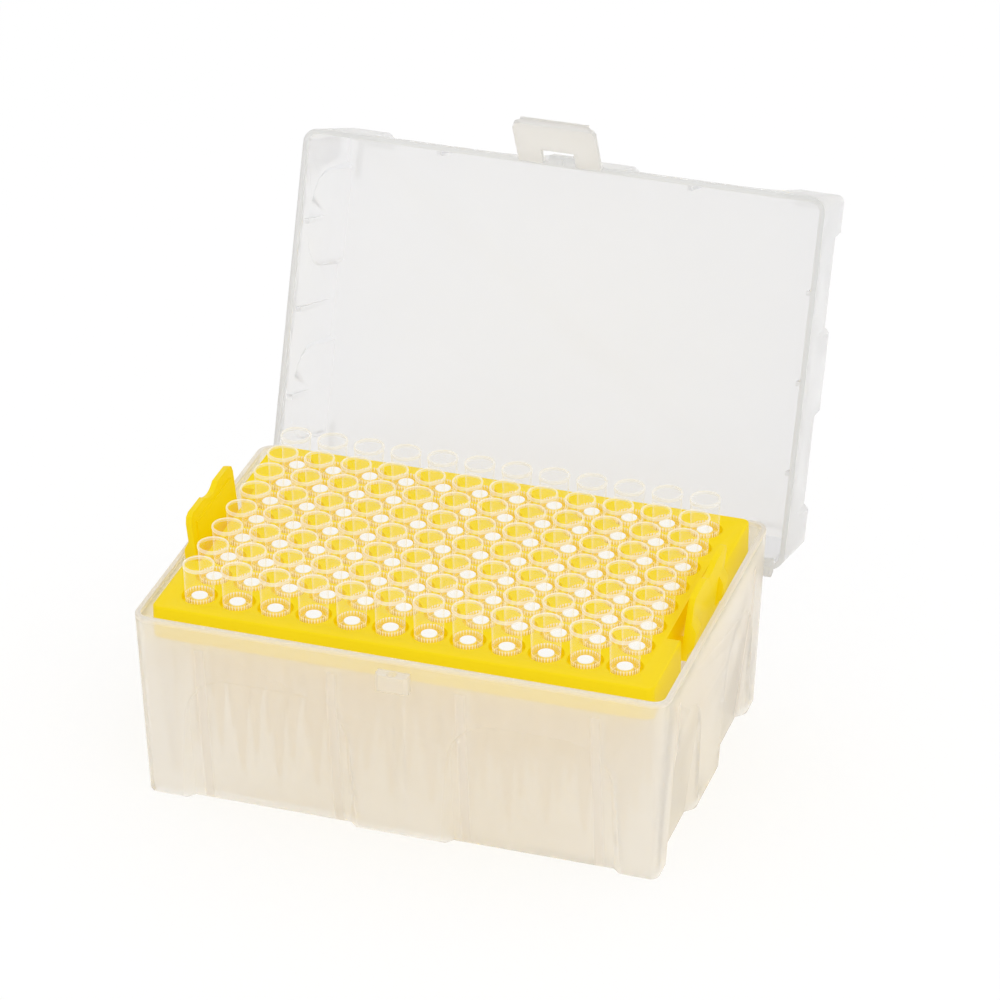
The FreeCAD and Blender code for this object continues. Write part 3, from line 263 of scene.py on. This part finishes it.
# Radius and height in millimetres. A wall 0.3 mm thin is drawn as one face.
RIM = [(3.14, 56.85), (3.22, 57.0), (3.52, 57.0), (3.6, 56.8), (3.6, 56.4)]
COLLAR = [(3.45, 56.4), (3.33, 51.1), (3.2, 47.12), (2.8, 47.1)]
BODY = [(2.8, 47.1), (2.3, 23.0), (1.8, 22.4), (0.475, 5.0), (0.1, 5.0)]
# Each rib is a thin upright bar on the collar with a wider head: radius, height, half width.
# The CAD's tips are smooth, so these ribs are only seen.
RIB = [(3.25, 48.2, 0.12), (3.3, 48.95, 0.12), (3.3, 48.96, 0.2), (3.31, 49.35, 0.2)]
RIBS = 30
# Faces round a tip's collar and round its body, and the corner past which an edge stays sharp.
COLLAR_SIDES, BODY_SIDES = 36, 24
CREASE = math.radians(40)


def lathe(form, profile, sides, caps=False):
    """Turn a profile, radius and height, round Z."""
    rings = []
    for radius, height in profile:
        ring = []
        for side in range(sides):
            angle = math.tau * side / sides
            ring.append(form.verts.new((
                radius * math.cos(angle) / 1000, radius * math.sin(angle) / 1000, height / 1000,
            )))
        rings.append(ring)
    for one, other in zip(rings, rings[1:]):
        for side in range(sides):
            after = (side + 1) % sides
            form.faces.new((one[side], one[after], other[after], other[side]))
    if caps:
        form.faces.new(rings[0])
        form.faces.new(rings[-1])


def rib_ring(form):
    """The ring of upright ribs round the foot of a collar."""
    for number in range(RIBS):
        angle = math.tau * (number + 0.5) / RIBS
        out = Vector((math.cos(angle), math.sin(angle), 0))
        aside = Vector((-math.sin(angle), math.cos(angle), 0))
        sides = [[
            form.verts.new((out * radius + aside * half * way + Vector((0, 0, height))) / 1000)
            for radius, height, half in RIB
        ] for way in (-1, 1)]
        for low in range(len(RIB) - 1):
            form.faces.new((sides[0][low], sides[1][low], sides[1][low + 1], sides[0][low + 1]))


def finished(form, name):
    """Turn a form's faces outwards and make it a mesh."""
    bmesh.ops.recalc_face_normals(form, faces=form.faces)
    mesh = bpy.data.meshes.new(name)
    form.to_mesh(mesh)
    form.free()
    mesh.shade_smooth()
    mesh.set_sharp_from_angle(angle=CREASE)
    return mesh


# The tree repeats one shape over the rack's grid.
rack = bpy.data.node_groups.new("tip_rack", "GeometryNodeTree")
for name, kind in (
    ("Geometry", "NodeSocketGeometry"), ("Pitch", "NodeSocketFloat"), ("Columns", "NodeSocketInt"),
    ("Rows", "NodeSocketInt"), ("Material", "NodeSocketMaterial"),
):
    rack.interface.new_socket(name, in_out="INPUT", socket_type=kind)
rack.interface.new_socket("Geometry", in_out="OUTPUT", socket_type="NodeSocketGeometry")
given = add(rack, "NodeGroupInput").outputs
steps_x = add(rack, "ShaderNodeMath", {0: given["Columns"], 1: 1.0}, operation="SUBTRACT")
steps_y = add(rack, "ShaderNodeMath", {0: given["Rows"], 1: 1.0}, operation="SUBTRACT")
length = add(rack, "ShaderNodeMath", {
    0: steps_x.outputs[0], 1: given["Pitch"],
}, operation="MULTIPLY")
width = add(rack, "ShaderNodeMath", {
    0: steps_y.outputs[0], 1: given["Pitch"],
}, operation="MULTIPLY")
grid = add(rack, "GeometryNodeMeshGrid", {
    "Size X": length.outputs[0], "Size Y": width.outputs[0],
    "Vertices X": given["Columns"], "Vertices Y": given["Rows"],
})
spread = add(rack, "GeometryNodeInstanceOnPoints", {
    "Points": grid.outputs[0], "Instance": given["Geometry"],
})
real = add(rack, "GeometryNodeRealizeInstances", {"Geometry": spread.outputs[0]})
painted = add(rack, "GeometryNodeSetMaterial", {
    "Geometry": real.outputs[0], "Material": given["Material"],
})
add(rack, "NodeGroupOutput", {"Geometry": painted.outputs[0]})


def racked(mesh, name, material):
    """Repeat a mesh over the rack's grid, and leave the result as a plain mesh."""
    seed = put(mesh, name + "_seed")
    modifier = seed.modifiers.new("rack", "NODES")
    modifier.node_group = rack
    values = {"Pitch": PITCH, "Columns": COLUMNS, "Rows": ROWS, "Material": material}
    for item in rack.interface.items_tree:
        if item.in_out == "INPUT" and item.name in values:
            modifier[item.identifier] = values[item.name]
    evaluated = seed.evaluated_get(bpy.context.evaluated_depsgraph_get())
    result = bpy.data.meshes.new_from_object(evaluated)
    bpy.data.objects.remove(seed)
    result.name = name
    return put(result, name)


# Heights, in metres, at which a tip's look starts and ends its change: to the hazy body and its
# painted shade, to the bright rolled rim, to the foot that sits in the counterbore, and back below
# it.
BODY_CHANGE, BODY_SHADE_CHANGE = (0.0475, 0.0468), (0.0471, 0.0467)
RIM_CHANGE = (0.0561, 0.0562)
FOOT_TOP, FOOT_BOTTOM = (0.0490, 0.0486), (0.0470, 0.0471)
# How much a wall hides: collar, body, and what the rim, the foot and the flow marks add.
COLLAR_HAZE, BODY_HAZE, RIM_HAZE, FOOT_HAZE, FLOW_HAZE = 0.03, 0.6, 0.4, 0.1, 0.04

# Clear above the tray, where a wall shows only at its turning edges, and hazier in the thick body.
# The collar's foot sits in the tray's counterbore and is tinted the tray's yellow, a painted
# reflection of its light.
tip_plastic, tree = new_material("clear_polypropylene")
place = add(tree, "ShaderNodeTexCoord")
turn = add(tree, "ShaderNodeLayerWeight", {"Blend": 0.5})
edge = add(tree, "ShaderNodeMath", {0: turn.outputs["Facing"], 1: 5.0}, operation="POWER")
height = add(tree, "ShaderNodeSeparateXYZ", {"Vector": place.outputs["Object"]}).outputs["Z"]
body = add(tree, "ShaderNodeMapRange", {
    0: height, 1: BODY_CHANGE[0], 2: BODY_CHANGE[1], 3: COLLAR_HAZE, 4: BODY_HAZE,
})
rim = add(tree, "ShaderNodeMapRange", {
    0: height, 1: RIM_CHANGE[0], 2: RIM_CHANGE[1], 3: 0.0, 4: RIM_HAZE,
})
low = add(tree, "ShaderNodeMapRange", {0: height, 1: FOOT_TOP[0], 2: FOOT_TOP[1]})
above = add(tree, "ShaderNodeMapRange", {0: height, 1: FOOT_BOTTOM[0], 2: FOOT_BOTTOM[1]})
foot = add(tree, "ShaderNodeMath", {0: low.outputs[0], 1: above.outputs[0]}, operation="MULTIPLY")
flow = add(tree, "ShaderNodeTexNoise", {
    "Vector": place.outputs["Object"], "Scale": 400.0, "Detail": 1.0,
})
haze = add(tree, "ShaderNodeMath", {
    0: flow.outputs["Fac"], 1: FLOW_HAZE, 2: edge.outputs[0],
}, operation="MULTIPLY_ADD")
milk = add(tree, "ShaderNodeMath", {0: rim.outputs[0], 1: body.outputs[0]}, operation="ADD")
tinged = add(tree, "ShaderNodeMath", {
    0: foot.outputs[0], 1: FOOT_HAZE, 2: milk.outputs[0],
}, operation="MULTIPLY_ADD")
cover = add(tree, "ShaderNodeMath", {
    0: haze.outputs[0], 1: tinged.outputs[0],
}, operation="ADD", use_clamp=True)
# Painted reflection: the foot's see-through colour is tinted with the tray's yellow.
tint = add(tree, "ShaderNodeMix", {
    "Factor": foot.outputs[0], 6: linear("#FFFFFF"), 7: linear("#FFFA9C"),
}, data_type="RGBA")
# Painted shade: below the tray the body is drawn a darker cream-tan, for the shade under the tray
# inside the box.
shade_below = add(tree, "ShaderNodeMapRange", {
    0: height, 1: BODY_SHADE_CHANGE[0], 2: BODY_SHADE_CHANGE[1],
})
tone_with_painted_shade = add(tree, "ShaderNodeMix", {
    "Factor": shade_below.outputs[0], 6: linear("#FFFEFA"), 7: linear("#F0E4CD"),
}, data_type="RGBA")
skin = add(tree, "ShaderNodeBsdfPrincipled", {
    "Base Color": tone_with_painted_shade.outputs[2], "Roughness": 0.15, "IOR": 1.49,
})
cloud = add(tree, "ShaderNodeBsdfTranslucent", {"Color": tone_with_painted_shade.outputs[2]})
wall = add(tree, "ShaderNodeMixShader", {0: 0.25, 1: skin.outputs[0], 2: cloud.outputs[0]})
gap = add(tree, "ShaderNodeBsdfTransparent", {"Color": tint.outputs[2]})
seen = add(tree, "ShaderNodeMixShader", {
    0: cover.outputs[0], 1: gap.outputs[0], 2: wall.outputs[0],
})
add(tree, "ShaderNodeOutputMaterial", {"Surface": seen.outputs[0]})
form = bmesh.new()
lathe(form, RIM, COLLAR_SIDES)
lathe(form, COLLAR, COLLAR_SIDES)
lathe(form, BODY, BODY_SIDES)
tips = racked(finished(form, "tip"), "tips", tip_plastic)

# The ribs are thicker than the wall they stand on, and show white against it.
rib_plastic, tree = new_material("tip_rib_polypropylene")
place = add(tree, "ShaderNodeTexCoord")
flow = add(tree, "ShaderNodeTexNoise", {
    "Vector": place.outputs["Object"], "Scale": RIPPLE_SCALE, "Detail": 1.0,
})
cover = add(tree, "ShaderNodeMapRange", {0: flow.outputs["Fac"], 1: 0.3, 2: 0.7, 3: 0.85, 4: 1.0})
skin = add(tree, "ShaderNodeBsdfPrincipled", {
    "Base Color": linear("#FFFDF8"), "Roughness": 0.2, "IOR": 1.49, "Alpha": cover.outputs[0],
})
add(tree, "ShaderNodeOutputMaterial", {"Surface": skin.outputs[0]})
form = bmesh.new()
rib_ring(form)
ribs = racked(finished(form, "tip_rib"), "tip_ribs", rib_plastic)

# Thin clear walls take almost no light from what stands round them.
for piece in (tips, ribs):
    piece.visible_shadow = False
    piece.visible_diffuse = False
    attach(piece, "base")
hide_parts(*[f"tips_column_{column:02d}" for column in range(1, COLUMNS + 1)])

# ---------------------------------------------------------------- filters
# A plug of sintered polyethylene is pressed into each tip: chalk white, with a grain of
# fused beads about 0.2 mm across.

# Radius and height in millimetres.
PLUG = [(1.78, 48.9), (1.84, 48.84), (1.95, 48.0), (2.0, 44.05), (1.9, 43.9)]
# Only its top face, above this change in metres, shows white. Its side lies below the tray's top in
# a yellow hole, and
# is coloured that yellow: a painted reflection of the hole's light.
SIDE_CHANGE = (0.04885, 0.0487)
BEADS_PER_METRE = 5000.0

filter_plastic, tree = new_material("sintered_polyethylene")
place = add(tree, "ShaderNodeTexCoord")
beads = add(tree, "ShaderNodeTexVoronoi", {
    "Vector": place.outputs["Object"], "Scale": BEADS_PER_METRE,
})
tint = add(tree, "ShaderNodeMix", {
    "Factor": beads.outputs["Distance"], 6: linear("#F8F7F4"), 7: linear("#EDEBE6"),
}, data_type="RGBA")
height = add(tree, "ShaderNodeSeparateXYZ", {"Vector": place.outputs["Object"]}).outputs["Z"]
side = add(tree, "ShaderNodeMapRange", {0: height, 1: SIDE_CHANGE[0], 2: SIDE_CHANGE[1]})
# Painted reflection: the plug's side takes the hole's yellow as its colour.
glow = add(tree, "ShaderNodeMix", {
    "Factor": side.outputs[0], 6: tint.outputs[2], 7: linear("#F6DE66"),
}, data_type="RGBA")
relief = add(tree, "ShaderNodeBump", {
    "Height": beads.outputs["Distance"], "Strength": 0.3, "Distance": 0.0001,
}, invert=True)
skin = add(tree, "ShaderNodeBsdfPrincipled", {
    "Base Color": glow.outputs[2], "Roughness": 0.85, "IOR": 1.4,
    "Normal": relief.outputs["Normal"],
})
add(tree, "ShaderNodeOutputMaterial", {"Surface": skin.outputs[0]})
form = bmesh.new()
lathe(form, PLUG, BODY_SIDES, caps=True)
filters = racked(finished(form, "filter"), "filters", filter_plastic)
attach(filters, "base")
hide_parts(*[f"filters_column_{column:02d}" for column in range(1, COLUMNS + 1)])

# ---------------------------------------------------------------- lid
# The cover: one moulding of clarified polypropylene, clearer and cooler than the base. Two arms at
# its rear carry the knuckles that turn on the base's hinge pins.

# The open lid leans back by this. The rim and the ridges are told by how far out of the lid's
# mouth a point lies, in metres.
LID_LEAN = math.radians(20)
LID_RIM_FADED, LID_RIM_FULL, RIDGE_FOOT = -0.0371, -0.0367, -0.0642


def lid_thick(tree, place):
    """1 at the open lid's rim and at the stacking ridges on its top, 0 elsewhere."""
    # The mouth faces forwards and up at rest.
    mouth = (0, -math.cos(LID_LEAN), math.sin(LID_LEAN))
    out = add(tree, "ShaderNodeVectorMath", {
        0: place.outputs["Object"], 1: mouth,
    }, operation="DOT_PRODUCT").outputs["Value"]
    rim = add(tree, "ShaderNodeMapRange", {0: out, 1: LID_RIM_FADED, 2: LID_RIM_FULL})
    ridge = add(tree, "ShaderNodeMath", {0: out, 1: RIDGE_FOOT}, operation="LESS_THAN")
    return add(tree, "ShaderNodeMath", {
        0: rim.outputs[0], 1: ridge.outputs[0],
    }, operation="MAXIMUM").outputs[0]


# A light, even haze that is greyer where the plastic is thick.
lid_plastic = milky(
    "clarified_polypropylene", clear="#FCFCFD", milk=("#FBFBFC", "#FEFEFE"), clear_share=0.44,
    blur=0.08, passing=0.5, shade="#F9F9FA", thick=lid_thick, dense="#EAEAE8",
)
lid = moulding("lid_moulding", "lid", edge=0.0003, material=lid_plastic)
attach(lid, "lid")
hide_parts("lid")

# ---------------------------------------------------------------- latch flap
# The flap on the lid's front edge is part of the lid's moulding, and turns on a thin web. Its
# window drops over the base's catch block. It is thick enough to blur all that is behind it.
flap_plastic = milky(
    "flap_polypropylene", clear="#FAF8F4", milk=("#FCFAF7", "#FDFCFA"), clear_share=0.5,
    blur=0.3, passing=0.5, shade="#E6E6E6",
)
flap = moulding("flap_moulding", "latch_flap", edge=0.00015, material=flap_plastic)
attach(flap, "latch")
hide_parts("latch_flap")

# ---------------------------------------------------------------- floor, light and camera
# A white paper sweep under a white studio tent, with one large soft lamp from the upper right.
# The paper shows nearly white to the camera, and keeps enough of the box's shadow.
PAPER_GLOW = 0.76

form = bmesh.new()
bmesh.ops.create_grid(form, x_segments=1, y_segments=1, size=3)
mesh = bpy.data.meshes.new("floor")
form.to_mesh(mesh)
form.free()
floor = put(mesh, "floor")
paper, tree = new_material("white_paper")
sheet = add(tree, "ShaderNodeBsdfDiffuse", {"Color": linear("#FAFAFA")})
lit = add(tree, "ShaderNodeEmission", {"Color": (1, 1, 1, 1), "Strength": 1.0})
path = add(tree, "ShaderNodeLightPath")
seen = add(tree, "ShaderNodeMath", {
    0: path.outputs["Is Camera Ray"], 1: path.outputs["Is Transmission Ray"],
}, operation="MAXIMUM")
share = add(tree, "ShaderNodeMath", {0: seen.outputs[0], 1: PAPER_GLOW}, operation="MULTIPLY")
mixed = add(tree, "ShaderNodeMixShader", {
    0: share.outputs[0], 1: sheet.outputs[0], 2: lit.outputs[0],
})
add(tree, "ShaderNodeOutputMaterial", {"Surface": mixed.outputs[0]})
mesh.materials.append(paper)

tent = bpy.data.worlds.new("studio_tent")
bpy.context.scene.world = tent
tent.use_nodes = True
tree = tent.node_tree
tree.nodes.clear()
white = add(tree, "ShaderNodeBackground", {"Color": (1, 1, 1, 1), "Strength": 1.0})
add(tree, "ShaderNodeOutputWorld", {"Surface": white.outputs[0]})

softbox = bpy.data.lights.new("softbox", "AREA")
softbox.size = 0.9
softbox.energy = 2
lamp = bpy.data.objects.new("softbox", softbox)
bpy.context.scene.collection.objects.link(lamp)
lamp.location = (0.6, -0.4, 1.1)
lamp.rotation_euler = (-lamp.location).to_track_quat("-Z", "Y").to_euler()

# The camera stands to the right of the catch and looks down on the box through a long lens,
# rolled by a hair.
ROLL = math.radians(-0.11)
lens = bpy.data.cameras.new("camera")
lens.lens = 178.3
lens.sensor_width = 36
camera = bpy.data.objects.new("camera", lens)
bpy.context.scene.collection.objects.link(camera)
camera.location = (0.309868, -0.915363, 0.609037)
look = Vector((-0.270705, 0.828197, -0.490723))
camera.rotation_mode = "QUATERNION"
camera.rotation_quaternion = look.to_track_quat("-Z", "Y") @ Quaternion((0, 0, 1), ROLL)
bpy.context.scene.camera = camera
bpy.context.scene.view_settings.view_transform = "Standard"
